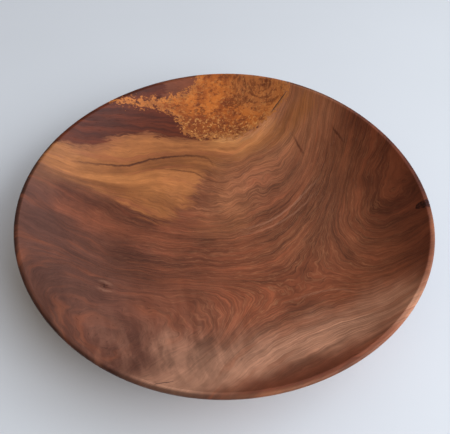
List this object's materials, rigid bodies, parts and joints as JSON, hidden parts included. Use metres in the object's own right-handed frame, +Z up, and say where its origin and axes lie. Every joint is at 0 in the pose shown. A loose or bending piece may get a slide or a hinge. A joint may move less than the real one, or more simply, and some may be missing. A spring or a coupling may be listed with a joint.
{
  "type": "offering plate",
  "caption": "Round, wide, shallow turned wooden plate with a thin rounded lip, a dished bowl and a low felted foot, for passing round to collect offerings.",
  "frame": {"origin": "on the plate's axis, on the surface that the foot's felt stands on", "axes": "+Z up along the plate's axis; +Y towards the side of the rim with the orange burl; +X towards the rim knot"},
  "size_m": [0.33, 0.33, 0.052],
  "materials": {
    "figured_wood": "satin oil and wax over figured red-brown wood",
    "knot_wood": "dark dead knot, satin oil and wax",
    "dark_fill": "dark hard resin, sanded flush",
    "felt": "dark green wool felt"
  },
  "bodies": {
    "root": {"plate_body": "figured_wood", "rim_knot": "knot_wood", "pin_knot": "knot_wood", "check_fill": "dark_fill", "foot_felt": "felt"}
  },
  "joints": []
}
